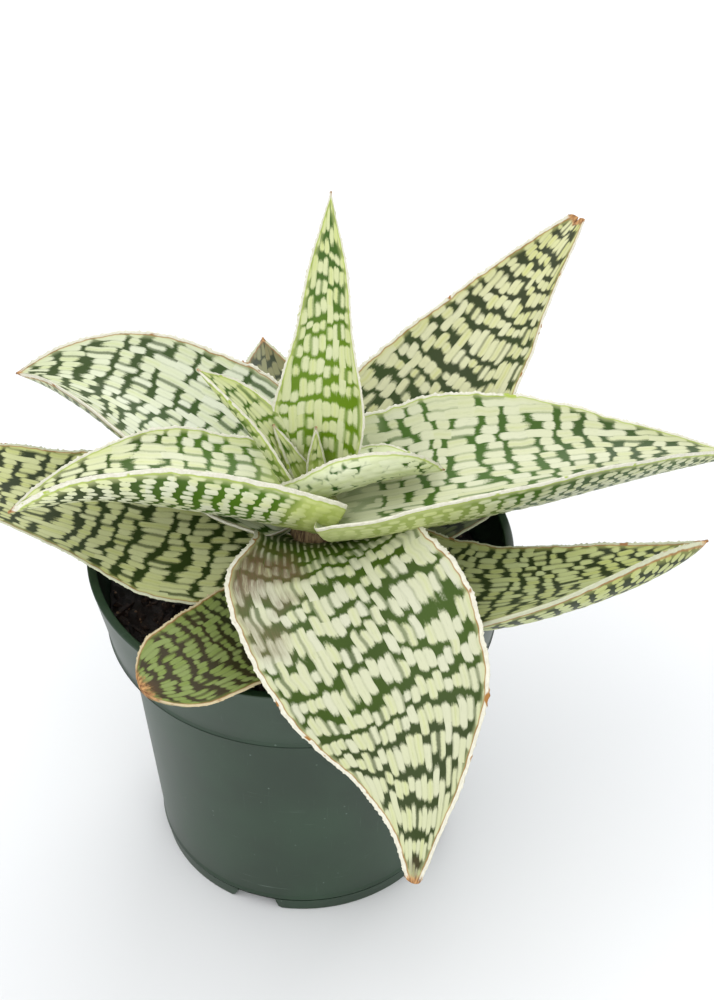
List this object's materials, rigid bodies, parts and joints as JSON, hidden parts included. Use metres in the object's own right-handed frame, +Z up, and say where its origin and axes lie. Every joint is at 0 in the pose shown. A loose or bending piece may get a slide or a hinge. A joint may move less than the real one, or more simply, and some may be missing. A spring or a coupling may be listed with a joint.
{
  "type": "potted aloe plant",
  "caption": "Spotted succulent rosette with thick white-edged leaves on a short stem, growing in potting mix in a round plastic nursery pot.",
  "frame": {"origin": "on the pot's axis, on the surface that the pot stands on", "axes": "+Z up along the pot's axis, -Y towards the front, where the big front leaf hangs down, and +X to the right"},
  "size_m": [0.2106, 0.165, 0.173],
  "materials": {
    "pot_plastic": "satin",
    "potting_mix": "matte",
    "stem_tissue": "matte",
    "leaf_heart": "satin",
    "leaf_green": "satin",
    "leaf_olive": "satin"
  },
  "bodies": {
    "root": {"pot": "pot_plastic", "potting_mix": "potting_mix", "stem": "stem_tissue", "leaf_bud": "leaf_heart", "leaf_bud_left": "leaf_heart", "leaf_upright": "leaf_heart", "leaf_inner_left": "leaf_heart", "leaf_inner_right": "leaf_heart", "leaf_left": "leaf_green", "leaf_right": "leaf_green", "leaf_back_left": "leaf_green", "leaf_back_right": "leaf_green", "leaf_front": "leaf_green", "leaf_back": "leaf_olive", "leaf_low_left": "leaf_olive", "leaf_low_right": "leaf_olive", "leaf_under_right": "leaf_olive", "leaf_over_rim": "leaf_olive"}
  },
  "joints": []
}
